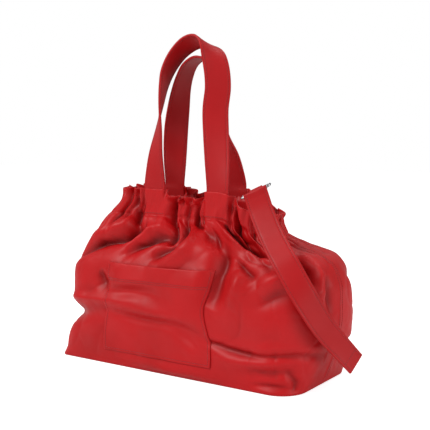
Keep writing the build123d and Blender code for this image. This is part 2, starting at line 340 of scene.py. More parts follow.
def add_pleats(push, s, height, girth, flat):
    """Add the gathers that run through the casing and fade out below it."""
    rng = random.Random(PLEAT_SEED)
    above = smooth(NECK - 6, NECK + 6, height)
    down = NECK - height
    for k in range(PLEATS):
        lap = (k + rng.uniform(-0.38, 0.38)) / PLEATS
        length = rng.uniform(22, 85)
        lean = rng.uniform(-0.014, 0.014)
        depth = rng.uniform(0.4, 1.5)
        width = rng.uniform(2.8, 4.6)
        lower = np.clip(down / length, 0, 1)
        upper = np.clip(-down / (RIM - NECK), 0, 1)
        here = np.abs(wrap(s - lap - lean * lower + 0.5 * lean * upper)) * girth
        profile = fold_profile(here, width * (1 + PLEAT_SPREAD * lower), PLEAT_TIP * width)
        size = PLEAT_DEPTH * (1 - lower) ** 1.6 * (1 - above) + CASING_PLEAT * above
        push -= depth * size * profile * (1 - flat)


# The folds are worked out once on a grid: its columns in a lap and the height between its rows
MAP_LAPS = 960
MAP_STEP = 1.5
GATHER_BOOST = 0.35
FEET_CALM = 0.80
# Wavelength, height and seed of the broad crumpling, the creasing and the grain
CRUMPLES = ((120, 2.0, 3), (52, 0.5, 4))
CREASINGS = ((84, 1.1, 5), (46, 0.35, 8))
CREASE_NARROW = 2.4
GRAIN = (17, 0.08, 6)


def fold_map():
    """Displacement of the leather over a grid of laps and heights."""
    laps = np.arange(MAP_LAPS) / MAP_LAPS
    heights = np.arange(0, RIM + MAP_STEP, MAP_STEP)
    s, height = np.meshgrid(laps, heights)
    girth = perimeter(height)
    push = np.zeros(s.shape)
    for stroke in STROKES:
        add_stroke(push, s, height, girth, stroke)
    push *= 1 + GATHER_BOOST * smooth(150, 210, height)
    flat = FEET_CALM * feet_mask(s, height) * smooth(NECK - 24, NECK, height)
    push *= smooth(0, 10, height) * (1 - flat)
    add_pleats(push, s, height, girth, flat)

    # everywhere between the base and the casing
    point = plain(s, height)
    calm = smooth(4, 30, height) * smooth(NECK + 6, NECK - 14, height)
    push += calm * sum(size * waves(point, wavelength, seed) for wavelength, size, seed in CRUMPLES)
    for wavelength, depth, seed in CREASINGS:
        push -= calm * depth * np.clip(1 - np.abs(waves(point, wavelength, seed)) * CREASE_NARROW, 0, 1) ** 2
    wavelength, size, seed = GRAIN
    return push + calm * size * waves(point, wavelength, seed)


FOLD_MAP = fold_map()
# Painted shade in the creases: the leather's colour is darkened where it lies below its averaged
# surroundings
# Grid steps over which the surroundings are averaged, and the depth below them that counts as deepest
CREASE_BLUR = 12
CREASE_DEPTH = 8.5


def painted_shade_map():
    """Mask of painted shade: 0 to 1 for how far the leather lies inside its surroundings, where shade falls.
    """
    broad = FOLD_MAP
    for axis, mode in ((1, "wrap"), (0, "edge")):
        margin = [(0, 0), (0, 0)]
        margin[axis] = (CREASE_BLUR, CREASE_BLUR)
        wide = np.pad(broad, margin, mode=mode)
        size = broad.shape[axis]
        broad = sum(np.take(wide, np.arange(k, k + size), axis) for k in range(2 * CREASE_BLUR + 1))
        broad = broad / (2 * CREASE_BLUR + 1)
    return np.clip((broad - FOLD_MAP) / CREASE_DEPTH, 0, 1)


PAINTED_SHADE_MAP = painted_shade_map()
# The casing seam's dent, how much deeper it is at the handle feet, and its half width
CASING_DENT, FOOT_DENT, DENT_WIDTH = 0.5, 0.9, 1.4
# The side seams' raised welt, and the depth and half width of the groove beside it
WELT_HEIGHT, GROOVE_DEPTH, GROOVE_WIDTH = 1.0, 1.1, 1.1


def painted_shade_rows(s, heights):
    """Painted crease shade for rows of the skin, one row for each height."""
    across = (np.mod(s, 1.0) * MAP_LAPS).astype(int) % MAP_LAPS
    up = np.clip(np.asarray(heights) / MAP_STEP, 0, len(PAINTED_SHADE_MAP) - 1).astype(int)
    return PAINTED_SHADE_MAP[up[:, None], across[None, :]]


def folds(s, height):
    """Displacement of the leather along its normal, in millimetres."""
    across = np.mod(s, 1.0) * MAP_LAPS
    up = np.clip(height / MAP_STEP, 0, len(FOLD_MAP) - 1.001)
    i, j = up.astype(int), across.astype(int) % MAP_LAPS
    k = (j + 1) % MAP_LAPS
    fu, fs = up - i, across - np.floor(across)
    push = ((FOLD_MAP[i, j] * (1 - fs) + FOLD_MAP[i, k] * fs) * (1 - fu)
            + (FOLD_MAP[i + 1, j] * (1 - fs) + FOLD_MAP[i + 1, k] * fs) * fu)

    # the seam under the casing, deepest at the feet, and the welts of the side seams
    dent = CASING_DENT + FOOT_DENT * feet_mask(s, height)
    push -= dent * np.exp(-(((height - NECK) / DENT_WIDTH) ** 2))
    girth = perimeter(height)
    for lap in SIDE_SEAMS:
        away = wrap(s - lap) * girth
        body = smooth(6, 14, height) * smooth(NECK, NECK - 6, height)
        welt = smooth(-SEAM_ALLOWANCE - 1, -SEAM_ALLOWANCE + 1, away) * smooth(0.8, -0.2, away)
        push += body * (WELT_HEIGHT * welt - GROOVE_DEPTH * np.exp(-((away / GROOVE_WIDTH) ** 2)))

    # the rounded bottom edge
    edge = np.clip(BASE_ROUND - height, 0, BASE_ROUND)
    return push - (BASE_ROUND - np.sqrt(BASE_ROUND**2 - edge**2))


def frill(s, height):
    """Sideways and upward waves of the casing's free edge."""
    near_ring = smooth(RING_REACH, RING_REACH * 0.6, np.abs(wrap(s - RING_LAP)))
    free = smooth(FRILL_START, RIM, height) * (1 - feet_mask(s, height)) * (1 - 0.9 * near_ring)
    phase = 2 * math.pi * s
    ends = 1 + 0.15 * np.cos(2 * phase + math.pi) ** 2
    # whole numbers of waves in a lap, bunched here and spread there by slower waves
    side = np.sin(33 * phase + 2.6 * np.sin(7 * phase))
    side += 0.3 * np.sin(53 * phase + 1.7 * np.sin(5 * phase))
    rise = np.sin(23 * phase + 2.0 * np.sin(9 * phase + 1)) + 0.5 * np.sin(17 * phase)
    return FRILL_WAVE * ends * free * side, FRILL_RISE * ends * free * rise


def leather_point(s, height, inset=0.0):
    """Point of the folded skin, a given distance inside its outer face."""
    normal = plain_normal(s, height)
    sideways, upwards = frill(s, height)
    out = plain(s, height) + normal * (folds(s, height) + sideways - inset)[..., None]
    out[..., 2] = np.maximum(out[..., 2] + upwards, 0.02)
    return out


def leather_rows(s, heights, insets=0.0):
    """Rows of skin points, one row for each height."""
    heights = np.asarray(heights, float)
    insets = np.broadcast_to(np.asarray(insets, float), heights.shape)
    grid, tall = np.meshgrid(s, heights)
    return list(leather_point(grid, tall, insets[:, None]))


def mesh_object(name, points, faces, material, body):
    """New mesh piece from points in metres, riding on a body."""
    mesh = bpy.data.meshes.new(name)
    mesh.from_pydata(np.asarray(points).tolist(), [], faces)
    mesh.validate()
    mesh.polygons.foreach_set("use_smooth", [True] * len(mesh.polygons))
    obj = bpy.data.objects.new(name, mesh)
    bpy.context.collection.objects.link(obj)
    mesh.materials.append(material)
    if body:
        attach(obj, body)
    return obj


def disc_rows(edge, parts, height):
    """Flat rows inside an edge, drawn in towards its middle, at one height."""
    rows = []
    for part in parts:
        row = edge.mean(0) + (edge - edge.mean(0)) * part
        row[:, 2] = height
        rows.append(row)
    return rows


def lathe_faces(rows, around, start=0):
    """Quads between closed rows of points."""
    low = (start + np.arange(rows - 1) * around)[:, None]
    here, after = np.arange(around), (np.arange(around) + 1) % around
    quads = np.stack([low + here, low + after, low + after + around, low + here + around], axis=-1)
    return quads.reshape(-1, 4).tolist()


def closed_rows(rows):
    """Points and faces of stacked rows, with a centre point to close each end."""
    around = len(rows[0])
    points = np.vstack(rows)
    faces = lathe_faces(len(rows), around)
    low, high = len(points), len(points) + 1
    last = (len(rows) - 1) * around
    points = np.vstack([points, rows[0].mean(0), rows[-1].mean(0)])
    for j in range(around):
        k = (j + 1) % around
        faces.append((low, k, j))
        faces.append((high, last + j, last + k))
    return points, faces


# ---- materials
def node_material(name):
    """Empty node material: its tree, shader and object-space coordinates in metres."""
    material = bpy.data.materials.new(name)
    material.use_nodes = True
    tree = material.node_tree
    shader = tree.nodes["Principled BSDF"]
    coords = tree.nodes.new("ShaderNodeTexCoord")
    return material, tree, shader, coords


def noise_node(tree, coords, scale, detail=4.0, rough=0.55):
    """Noise texture on the object's own coordinates."""
    node = tree.nodes.new("ShaderNodeTexNoise")
    node.inputs["Scale"].default_value = scale
    node.inputs["Detail"].default_value = detail
    node.inputs["Roughness"].default_value = rough
    tree.links.new(coords.outputs["Object"], node.inputs["Vector"])
    return node


# Sockets of a Mix node that is set to colours, which share their names with its other sockets
MIX_FACTOR, MIX_FIRST, MIX_SECOND, MIX_COLOUR = 0, 6, 7, 2
# Share of the darkest leather colour that the painted shade in the creases goes down to
PAINTED_SHADE_FACTOR = 0.40
GREY_BOARD = ((0.05, 0.05, 0.05, 1), (0.10, 0.10, 0.10, 1))
NICKEL = ((0.38, 0.38, 0.39, 1), (0.50, 0.50, 0.51, 1))


def ramp_node(tree, source, stops):
    """Colour ramp fed by a value."""
    node = tree.nodes.new("ShaderNodeValToRGB")
    ramp = node.color_ramp
    ramp.elements[0].position, ramp.elements[0].color = stops[0]
    ramp.elements[1].position, ramp.elements[1].color = stops[-1]
    for position, colour in stops[1:-1]:
        element = ramp.elements.new(position)
        element.color = colour
    tree.links.new(source, node.inputs["Fac"])
    return node


def leather(name, dark, mid, light, rough=(0.44, 0.54), grain=0.22, coat=0.04):
    """Smooth nappa leather: pebbled grain, pores, mottled dye, uneven gloss and painted shade in the
    creases.
    """
    material, tree, shader, coords = node_material(name)
    mottle = noise_node(tree, coords, 9.0, 5.0)
    colour = ramp_node(tree, mottle.outputs["Fac"], [(0.30, dark), (0.52, mid), (0.74, light)])
    # Painted shade: the base colour is darkened by the skin's per-point crease shade value
    painted_shade = tree.nodes.new("ShaderNodeAttribute")
    painted_shade.attribute_name = "painted_shade"
    painted_shade_mix = tree.nodes.new("ShaderNodeMix")
    painted_shade_mix.data_type = "RGBA"
    tree.links.new(painted_shade.outputs["Fac"], painted_shade_mix.inputs[MIX_FACTOR])
    tree.links.new(colour.outputs["Color"], painted_shade_mix.inputs[MIX_FIRST])
    painted_shade_mix.inputs[MIX_SECOND].default_value = [channel * PAINTED_SHADE_FACTOR for channel in dark[:3]] + [1]
    tree.links.new(painted_shade_mix.outputs[MIX_COLOUR], shader.inputs["Base Color"])
    gloss = noise_node(tree, coords, 34.0, 3.0)
    spread = tree.nodes.new("ShaderNodeMapRange")
    spread.inputs["From Min"].default_value, spread.inputs["From Max"].default_value = 0.3, 0.7
    spread.inputs["To Min"].default_value, spread.inputs["To Max"].default_value = rough
    tree.links.new(gloss.outputs["Fac"], spread.inputs["Value"])
    tree.links.new(spread.outputs["Result"], shader.inputs["Roughness"])
    cells = tree.nodes.new("ShaderNodeTexVoronoi")
    cells.feature = "SMOOTH_F1"
    cells.inputs["Scale"].default_value = 1100.0
    tree.links.new(coords.outputs["Object"], cells.inputs["Vector"])
    pores = noise_node(tree, coords, 420.0, 5.0, 0.65)
    wrinkle = noise_node(tree, coords, 60.0, 6.0, 0.6)
    last = None
    for source, distance, weight in (
        (wrinkle.outputs["Fac"], 0.0012, 0.7),
        (pores.outputs["Fac"], 0.0003, 1.0),
        (cells.outputs["Distance"], 0.00025, 1.2),
    ):
        bump = tree.nodes.new("ShaderNodeBump")
        bump.inputs["Strength"].default_value = grain * weight
        bump.inputs["Distance"].default_value = distance
        tree.links.new(source, bump.inputs["Height"])
        if last is not None:
            tree.links.new(last.outputs["Normal"], bump.inputs["Normal"])
        last = bump
    tree.links.new(last.outputs["Normal"], shader.inputs["Normal"])
    shader.inputs["Coat Weight"].default_value = coat
    shader.inputs["Coat Roughness"].default_value = 0.38
    shader.inputs["Specular IOR Level"].default_value = 0.27
    return material


def woven(name, dark, light, scale=900.0):
    """Plain weave cloth from two crossed bands."""
    material, tree, shader, coords = node_material(name)
    mix = tree.nodes.new("ShaderNodeMath")
    mix.operation = "MULTIPLY"
    for direction, socket in zip(("X", "Z"), mix.inputs):
        wave = tree.nodes.new("ShaderNodeTexWave")
        wave.bands_direction = direction
        wave.inputs["Scale"].default_value = scale / 6
        wave.inputs["Distortion"].default_value = 0.6
        tree.links.new(coords.outputs["Object"], wave.inputs["Vector"])
        tree.links.new(wave.outputs["Fac"], socket)
    colour = ramp_node(tree, mix.outputs["Value"], [(0.0, dark), (1.0, light)])
    tree.links.new(colour.outputs["Color"], shader.inputs["Base Color"])
    bump = tree.nodes.new("ShaderNodeBump")
    bump.inputs["Strength"].default_value = 0.4
    bump.inputs["Distance"].default_value = 0.0003
    tree.links.new(mix.outputs["Value"], bump.inputs["Height"])
    tree.links.new(bump.outputs["Normal"], shader.inputs["Normal"])
    shader.inputs["Roughness"].default_value = 0.85
    shader.inputs["Sheen Weight"].default_value = 0.25
    return material


def metal(name):
    """Polished nickel with fine scratches."""
    material, tree, shader, coords = node_material(name)
    scratches = noise_node(tree, coords, 800.0, 3.0)
    colour = ramp_node(tree, scratches.outputs["Fac"], [(0.3, NICKEL[0]), (0.7, NICKEL[1])])
    tree.links.new(colour.outputs["Color"], shader.inputs["Base Color"])
    rough = tree.nodes.new("ShaderNodeMapRange")
    rough.inputs["To Min"].default_value, rough.inputs["To Max"].default_value = 0.14, 0.30
    tree.links.new(scratches.outputs["Fac"], rough.inputs["Value"])
    tree.links.new(rough.outputs["Result"], shader.inputs["Roughness"])
    shader.inputs["Metallic"].default_value = 1.0
    return material


def board(name):
    """Grey pressed fibre board."""
    material, tree, shader, coords = node_material(name)
    fibre = noise_node(tree, coords, 500.0, 6.0, 0.7)
    colour = ramp_node(tree, fibre.outputs["Fac"], [(0.3, GREY_BOARD[0]), (0.7, GREY_BOARD[1])])
    tree.links.new(colour.outputs["Color"], shader.inputs["Base Color"])
    shader.inputs["Roughness"].default_value = 0.8
    return material


LEATHER_RED = leather("bag_leather", dark=(0.42, 0.001, 0.002, 1), mid=(0.48, 0.002, 0.004, 1),
                      light=(0.53, 0.003, 0.006, 1))
# Strap and handle leather: the bag's leather in darker tones, a painted shade; its rougher surface, fainter
# grain and thinner coat are its own
STRAP_RED = leather("strap_leather", dark=(0.36, 0.001, 0.002, 1), mid=(0.40, 0.002, 0.004, 1),
                    light=(0.44, 0.003, 0.005, 1), rough=(0.46, 0.56), grain=0.16, coat=0.03)
THREAD_RED = woven("thread", (0.16, 0.002, 0.004, 1), (0.34, 0.008, 0.012, 1), 5000.0)
LINING_CLOTH = woven("lining_cloth", (0.16, 0.006, 0.010, 1), (0.30, 0.012, 0.016, 1))
ELASTIC = woven("elastic", (0.22, 0.02, 0.02, 1), (0.40, 0.04, 0.04, 1), 2400.0)
RING_METAL = metal("ring_metal")
BASE_BOARD = board("base_board")


# ---- skin and lining
BASE_UNDER, BASE_OVER = 0.35, 2.6
SKIN_TOP = RIM - 1.2


def make_skin():
    """Leather bag as one closed sheet: base, wall, frilled rim, facing and inner wall."""
    s = np.arange(AROUND) / AROUND
    parts = np.linspace(0.03, 0.985, 12)
    heights = np.concatenate([
        np.linspace(0.4, 8, 7),
        np.arange(10, NECK - 8, 2.3),
        np.arange(NECK - 8, NECK + 8, 0.9),
        np.linspace(NECK + 8, SKIN_TOP, 24),
    ])
    rows = disc_rows(leather_point(s, np.zeros(AROUND)), parts, BASE_UNDER) + leather_rows(s, heights)
    top = rows[-1]
    inner_top = leather_rows(s, [SKIN_TOP], FRILL_DEPTH)[0]
    for turn in np.linspace(0.15, 0.85, LIP_ROWS) * math.pi:
        lip = (top + inner_top) / 2 + (top - inner_top) / 2 * math.cos(turn)
        lip[:, 2] += FRILL_DEPTH / 2 * math.sin(turn)
        rows.append(lip)
    inner = np.concatenate([np.linspace(SKIN_TOP, NECK - 10, 34), np.arange(NECK - 14, 6, -3.2), [5.0]])
    depth = LEATHER + (CASING_DEPTH - LEATHER) * smooth(NECK - 9, NECK - 3, inner)
    depth -= (CASING_DEPTH - FRILL_DEPTH) * smooth(FRILL_START - 4, FRILL_START + 6, inner)
    rows += leather_rows(s, inner, depth)
    rows += disc_rows(rows[-1], parts[::-1], BASE_OVER)
    points, faces = closed_rows(rows)
    obj = mesh_object("leather_skin", points * MM, faces, LEATHER_RED, "bag_body")
    # Painted shade for the creases, stored on the skin's points for its material
    under = np.zeros((len(parts), AROUND))
    lip = np.repeat(painted_shade_rows(s, [SKIN_TOP]), LIP_ROWS, axis=0)
    values = np.vstack([under, painted_shade_rows(s, heights), lip, painted_shade_rows(s, inner), under]).ravel()
    painted_shade = obj.data.attributes.new("painted_shade", "FLOAT", "POINT")
    painted_shade.data.foreach_set("value", np.append(values, [0.0, 0.0]))
    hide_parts("front_panel", "back_panel", "base_panel", "front_casing", "back_casing",
                "front_facing", "back_facing")
    return obj


LINING_OUTER, LINING_INNER = 2.8, 4.2
LINING_TOP = 230.0


def make_lining():
    """Cloth pouch inside the leather, as one closed sheet open at the top."""
    s = np.arange(AROUND // 2) / (AROUND // 2)
    parts = np.linspace(0.05, 0.97, 8)
    outer = leather_rows(s, np.concatenate([[6.2], np.arange(9, 229, 4.0), [LINING_TOP]]), LINING_OUTER)
    inner = leather_rows(s, np.concatenate([[LINING_TOP], np.arange(228, 9, -4.0), [8.4]]), LINING_INNER)
    rows = disc_rows(outer[0], parts, 6.1) + outer + inner + disc_rows(inner[-1], parts[::-1], 7.4)
    points, faces = closed_rows(rows)
    obj = mesh_object("lining_pouch", points * MM, faces, LINING_CLOTH, "bag_body")
    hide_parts("front_lining", "back_lining", "base_lining")


# Height and depth inside the leather of the elastic's closed section
ELASTIC_SECTION = ((246, 5.6), (252, 5.6), (258, 5.6), (258.4, 4.7),
                   (258, 3.9), (252, 3.9), (246, 3.9), (245.6, 4.7))


def make_elastic():
    """Gathered elastic band hidden in the casing."""
    s = np.arange(AROUND) / AROUND
    rows = leather_rows(s, *zip(*ELASTIC_SECTION))
    points = np.vstack(rows)
    faces = lathe_faces(len(rows), AROUND)
    last = (len(rows) - 1) * AROUND
    faces += [(last + j, last + (j + 1) % AROUND, (j + 1) % AROUND, j) for j in range(AROUND)]
    obj = mesh_object("elastic_band", points * MM, faces, ELASTIC, "bag_body")
    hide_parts("gathering_elastic")


skin = make_skin()
make_lining()
make_elastic()
skin_tree = BVHTree.FromObject(skin, bpy.context.evaluated_depsgraph_get())


# ---- stitching
STITCH_PITCH = 3.4
STITCH_LENGTH = 2.5
STITCH_RADIUS = 0.34
STITCH_SINK = 0.18
STITCH_FLATTEN = 0.7
STITCH_SIDES = 6
# Rings along a stitch: place from its middle to its ends, and size
STITCH_RINGS = ((-1.0, 0.35), (-0.8, 0.85), (0.0, 1.0), (0.8, 0.85), (1.0, 0.35))


def stitches(name, runs, body):
    """Thread stitches along runs of (points, normals), in millimetres, joined in one mesh."""
    sides = STITCH_SIDES
    angles = 2 * math.pi * np.arange(sides) / sides
    points, faces = [], []
    for line, normals in runs:
        steps = np.linalg.norm(np.diff(line, axis=0), axis=1)
        length = np.concatenate([[0], np.cumsum(steps)])
        for at in np.arange(STITCH_PITCH / 2, length[-1] - STITCH_PITCH / 2, STITCH_PITCH):
            centre = np.array([np.interp(at, length, line[:, i]) for i in range(3)])
            ahead = np.array([np.interp(at + 0.5, length, line[:, i]) for i in range(3)])
            normal = np.array([np.interp(at, length, normals[:, i]) for i in range(3)])
            along = (ahead - centre) / (np.linalg.norm(ahead - centre) + 1e-9)
            normal -= along * (normal @ along)
            normal /= np.linalg.norm(normal) + 1e-9
            loop = np.outer(np.cos(angles) * STITCH_FLATTEN, normal)
            loop += np.outer(np.sin(angles), np.cross(along, normal))
            first = sides * len(points)
            for place, size in STITCH_RINGS:
                middle = centre + along * place * STITCH_LENGTH / 2 - normal * STITCH_SINK * abs(place)
                points.append(middle + STITCH_RADIUS * size * loop)
            faces += lathe_faces(len(STITCH_RINGS), sides, first)
            last = first + (len(STITCH_RINGS) - 1) * sides
            faces.append(tuple(range(first + sides - 1, first - 1, -1)))
            faces.append(tuple(range(last, last + sides)))
    return mesh_object(name, np.vstack(points) * MM, faces, THREAD_RED, body)


def on_skin(s, height, rise=0.25):
    """Points and normals a little above the folded skin, for stitching."""
    s, height = np.broadcast_arrays(np.asarray(s, float), np.asarray(height, float))
    p = leather_point(s, height)
    ahead = leather_point(s + 4e-4, height) - leather_point(s - 4e-4, height)
    up = leather_point(s, np.minimum(height + 0.6, RIM)) - leather_point(s, height - 0.6)
    n = np.cross(ahead, up)
    n /= np.linalg.norm(n, axis=-1, keepdims=True)
    return p + n * rise, n


def make_skin_stitching():
    """Stitch lines across the casing at each handle foot and beside the side seams."""
    lap = np.linspace(0, 1, 3000, endpoint=False)
    feet = feet_mask(lap, np.full(lap.shape, NECK)) > 0.5
    starts = np.flatnonzero(np.diff(feet.astype(int)) != 0) + 1
    stretches = zip(np.split(lap, starts), np.split(feet, starts))
    runs = [on_skin(part, NECK + 3.2) for part, foot in stretches if foot[0]]
    tall = np.linspace(12, NECK - 6, 200)
    for seam in SIDE_SEAMS:
        runs.append(on_skin(seam - (SEAM_ALLOWANCE - 2) / perimeter(tall), tall))
        runs.append(on_skin(seam + 2.6 / perimeter(tall), tall))
    stitches("skin_stitching", runs, "bag_body")


make_skin_stitching()


# ---- pocket
POCKET_LEFT, POCKET_RIGHT = -118.0, 76.0
POCKET_BOTTOM, POCKET_HEIGHT = 25.0, 143.0
POCKET_THICKNESS = 1.7
HEM_HEIGHT = 26.0
POCKET_COLUMNS, POCKET_ROWS = 150, 110
POCKET_INSET = 4.0
POCKET_SMOOTHING = 14
POCKET_BRIDGE = 0.12
PLY_BEVEL = 0.45


def pocket_sides(height):
    """Left and right edges of the pocket at a height: the leather is pulled in by its folds."""
    t = (height - POCKET_BOTTOM) / POCKET_HEIGHT
    right = POCKET_RIGHT - 9 * np.exp(-(((t - 0.60) / 0.20) ** 2)) + 4 * np.exp(-(((t - 0.12) / 0.15) ** 2))
    left = POCKET_LEFT - 9 * smooth(0.75, 0.15, t) + 3 * np.exp(-(((t - 0.45) / 0.15) ** 2))
    return left, right


def pocket_surface(u, v, lift):
    """Point on the pocket: u across, v up, lifted off the skin."""
    height = POCKET_BOTTOM + v * POCKET_HEIGHT
    left, right = pocket_sides(height)
    x = left + u * (right - left)
    # the top edge rises to the right and droops in its middle
    height = height + 2.0 * (u - 0.5) * v - 1.5 * np.sin(math.pi * u) * smooth(0.9, 1.0, v)
    hit = skin_tree.ray_cast(Vector((x * MM, -0.3, height * MM)), Vector((0, 1, 0)))[0]
    return np.array([x, hit.y / MM - lift, height])


def pocket_lift(u, v):
    """Gap between the pocket and the skin, widest at the open top."""
    side = smooth(0, 0.10, u) * smooth(1, 0.88, u)
    mouth = smooth(0.55, 1.0, v) * side
    body = smooth(0, 0.2, v) * side
    return 0.3 + 2.4 * mouth * (1 + 0.5 * (1 - u)) + 0.8 * body


def pocket_grid(lift_more):
    """Grid of points over the pocket, smoothed a little so that it bridges narrow folds."""
    us, vs = np.linspace(0, 1, POCKET_COLUMNS), np.linspace(0, 1, POCKET_ROWS)
    grid = np.array([[pocket_surface(u, v, pocket_lift(u, v)) for u in us] for v in vs])
    depth = grid[..., 1]
    for _ in range(POCKET_SMOOTHING):
        inner = (depth[1:-1, :-2] + depth[1:-1, 2:] + depth[:-2, 1:-1] + depth[2:, 1:-1]) / 4
        depth[1:-1, 1:-1] = np.minimum(inner, depth[1:-1, 1:-1] + POCKET_BRIDGE)
    fold = 1 - HEM_HEIGHT / POCKET_HEIGHT
    hem = smooth(fold - 0.008, fold + 0.008, vs)[:, None]
    grid[..., 1] = depth - lift_more * (1 + 0.35 * hem)
    return grid


pocket_front = pocket_grid(POCKET_THICKNESS)


def make_pocket():
    """Patch pocket as a closed sheet with a thick hem along its open top."""
    rows, columns = POCKET_ROWS, POCKET_COLUMNS
    front = pocket_front.copy()
    back = pocket_front.copy()
    back[..., 1] += POCKET_THICKNESS
    for grid, sign in ((front, 1), (back, -1)):
        border = np.ones((rows, columns), bool)
        border[1:-1, 1:-1] = False
        grid[..., 1] += np.where(border, PLY_BEVEL * sign, 0)
    points = np.vstack([front.reshape(-1, 3), back.reshape(-1, 3)])
    faces = []
    other = rows * columns
    for i in range(rows - 1):
        for j in range(columns - 1):
            a = i * columns + j
            faces.append((a, a + 1, a + columns + 1, a + columns))
            faces.append((other + a, other + a + columns, other + a + columns + 1, other + a + 1))
    rim = (list(range(columns)) + [i * columns + columns - 1 for i in range(1, rows)]
           + [(rows - 1) * columns + j for j in range(columns - 2, -1, -1)]
           + [i * columns for i in range(rows - 2, 0, -1)])
    for here, after in zip(rim, rim[1:] + rim[:1]):
        faces.append((here, other + here, other + after, after))
    obj = mesh_object("pocket_patch", points * MM, faces, LEATHER_RED, "bag_body")
    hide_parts("pocket_panel")


def grid_line(grid, us, vs, rise=0.25):
    """Points and normals along a line over a grid."""
    rows, columns = grid.shape[:2]
    i, j = vs * (rows - 1), us * (columns - 1)
    i0, j0 = np.minimum(i.astype(int), rows - 2), np.minimum(j.astype(int), columns - 2)
    fi, fj = (i - i0)[:, None], (j - j0)[:, None]
    out = ((grid[i0, j0] * (1 - fi) + grid[i0 + 1, j0] * fi) * (1 - fj)
           + (grid[i0, j0 + 1] * (1 - fi) + grid[i0 + 1, j0 + 1] * fi) * fj)
    normals = np.tile([0.0, -1.0, 0.0], (len(out), 1))
    return out + normals * rise, normals


def make_pocket_stitching():
    """Two hem lines and one line round the sewn sides of the pocket."""
    side = POCKET_INSET / (POCKET_RIGHT - POCKET_LEFT)
    low = POCKET_INSET / POCKET_HEIGHT
    hem = 1 - (HEM_HEIGHT - 1.5) / POCKET_HEIGHT
    second = hem - 3.2 / POCKET_HEIGHT
    along = np.linspace(side, 1 - side, 160)
    up = np.linspace(low, 0.985, 120)
    runs = [grid_line(pocket_front, along, np.full(160, v)) for v in (hem, second, low)]
    runs += [grid_line(pocket_front, np.full(120, u), up) for u in (side, 1 - side)]
    stitches("pocket_stitching", runs, "bag_body")


make_pocket()
make_pocket_stitching()

# ---- handles and strap
HANDLE_WIDTH = 40.0
STRAP_WIDTH = 36.5
BAND_THICKNESS = 3.9
EDGE_STITCH = 4.0
FOOT_Y = 41.4
# Depth of the pressed stitch lines, how far the thread stands out of them, and how far the edges thin
STITCH_DENT, STITCH_RISE, EDGE_THINNING = 0.34, 0.18, 0.18
RING_AXIS = (0.82, 0.37, 0.44)
FOOT_HEIGHTS = (256, 275, 292)


def handle_line(feet, side, loop):
    """Stations of a handle: straight up from its left foot, through its loop and down to its right foot."""
    left, right = feet
    up = [((left, side * FOOT_Y, z), (1, 0, 0)) for z in FOOT_HEIGHTS]
    down = [((right, side * FOOT_Y, z), (-1, 0, 0)) for z in reversed(FOOT_HEIGHTS)]
    return up + loop + down


# Stations: the centre of the band, and the direction of its inner or forward edge
FRONT_HANDLE = handle_line(FRONT_FEET, -1, [
    ((-68, -38, 335), (0.93, -0.37, 0)),
    ((-68, -30, 375), (0.75, -0.66, 0)),
    ((-68, -24, 410), (0.52, -0.85, 0)),
    ((-66, -18, 445), (0.30, -0.95, 0)),
    ((-60, -13, 470), (0.05, -1, 0)),
    ((-44, -9, 494), (-0.15, -0.98, 0.10)),
    ((-20, -8, 510), (-0.30, -0.90, 0.30)),
    ((4, -10, 511), (-0.45, -0.75, 0.45)),
    ((22, -13, 497), (-0.62, -0.58, 0.50)),
    ((34, -17, 472), (-0.76, -0.55, 0.35)),
    ((40, -21, 440), (-0.82, -0.56, 0.12)),
    ((39, -26, 405), (-0.85, -0.52, 0)),
    ((44, -32, 366), (-0.92, -0.38, 0)),
    ((49, -37, 332), (-0.97, -0.24, 0)),
])
REAR_HANDLE = handle_line(REAR_FEET, 1, [
    ((-85, 37, 335), (0.93, 0.37, 0)),
    ((-78, 31, 375), (0.75, 0.66, 0)),
    ((-69, 25, 408), (0.50, 0.86, 0)),
    ((-59, 18, 435), (0.25, 0.97, 0)),
    ((-48, 13, 458), (0.10, 1, 0)),
    ((-34, 10, 478), (0, 1, 0)),
    ((-13, 8, 488), (-0.10, 1, 0)),
    ((6, 8, 482), (-0.20, 0.98, 0)),
    ((15, 11, 465), (-0.20, 0.98, 0)),
    ((19, 15, 440), (-0.30, 0.95, 0)),
    ((18, 20, 408), (-0.50, 0.86, 0)),
    ((20, 28, 365), (-0.80, 0.60, 0)),
    ((27, 36, 330), (-0.97, 0.25, 0)),
])
STRAP = [
    ((123.3, -47.6, 284), RING_AXIS),
    ((126.8, -47.2, 275), RING_AXIS),
    ((136, -50, 256), (0.80, 0.40, 0.45)),
    ((155, -59, 229), (0.76, 0.46, 0.46)),
    ((175, -71, 208), (0.72, 0.50, 0.48)),
    ((197, -82, 186), (0.68, 0.54, 0.49)),
    ((225, -84, 147), (0.58, 0.63, 0.51)),
    ((245, -68, 106), (0.42, 0.74, 0.52)),
    ((259, -44, 75), (0.28, 0.80, 0.53)),
    ((277, -25, 46), (0.15, 0.83, 0.53)),
]


def band_frames(stations, steps=14):
    """Centre, direction along, direction across and normal of a band, closely spaced."""
    centre = curve_points([c for c, _ in stations], steps)
    across = curve_points([a for _, a in stations], steps)
    along = np.gradient(centre, axis=0)
    along /= np.linalg.norm(along, axis=1, keepdims=True)
    across -= along * (across * along).sum(1, keepdims=True)
    across /= np.linalg.norm(across, axis=1, keepdims=True)
    return centre, along, across, np.cross(along, across)


